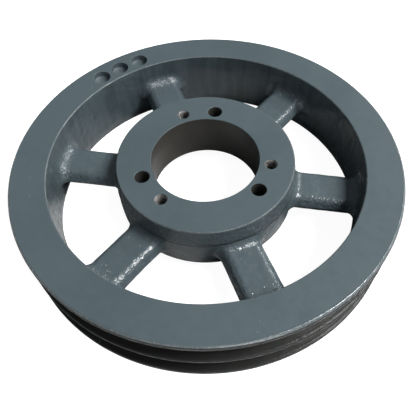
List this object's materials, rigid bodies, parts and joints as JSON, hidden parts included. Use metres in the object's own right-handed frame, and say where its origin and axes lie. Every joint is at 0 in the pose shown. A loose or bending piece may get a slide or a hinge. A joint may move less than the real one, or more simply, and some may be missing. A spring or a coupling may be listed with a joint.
{
  "type": "v belt pulley",
  "caption": "Cast iron V-belt pulley with a grooved rim, rounded spoke arms and a hub bored for a tapered bushing, painted blue-grey.",
  "frame": {"origin": "on the pulley's axis, halfway between the two rim faces", "axes": "+Z along the axis towards the front rim face, the one with the balance holes; +X along arm 1"},
  "size_m": [0.2476, 0.2476, 0.0444],
  "materials": {
    "paint": "semi-gloss blue-grey enamel over machined and as-cast iron",
    "bare_bore": "bare turned iron, oiled"
  },
  "bodies": {
    "root": {"front_flange": "paint", "middle_rib": "paint", "rear_flange": "paint", "rim_band": "paint", "hub": "paint", "arm_1": "paint", "arm_2": "paint", "arm_3": "paint", "arm_4": "paint", "arm_5": "paint", "arm_6": "paint"}
  },
  "joints": []
}
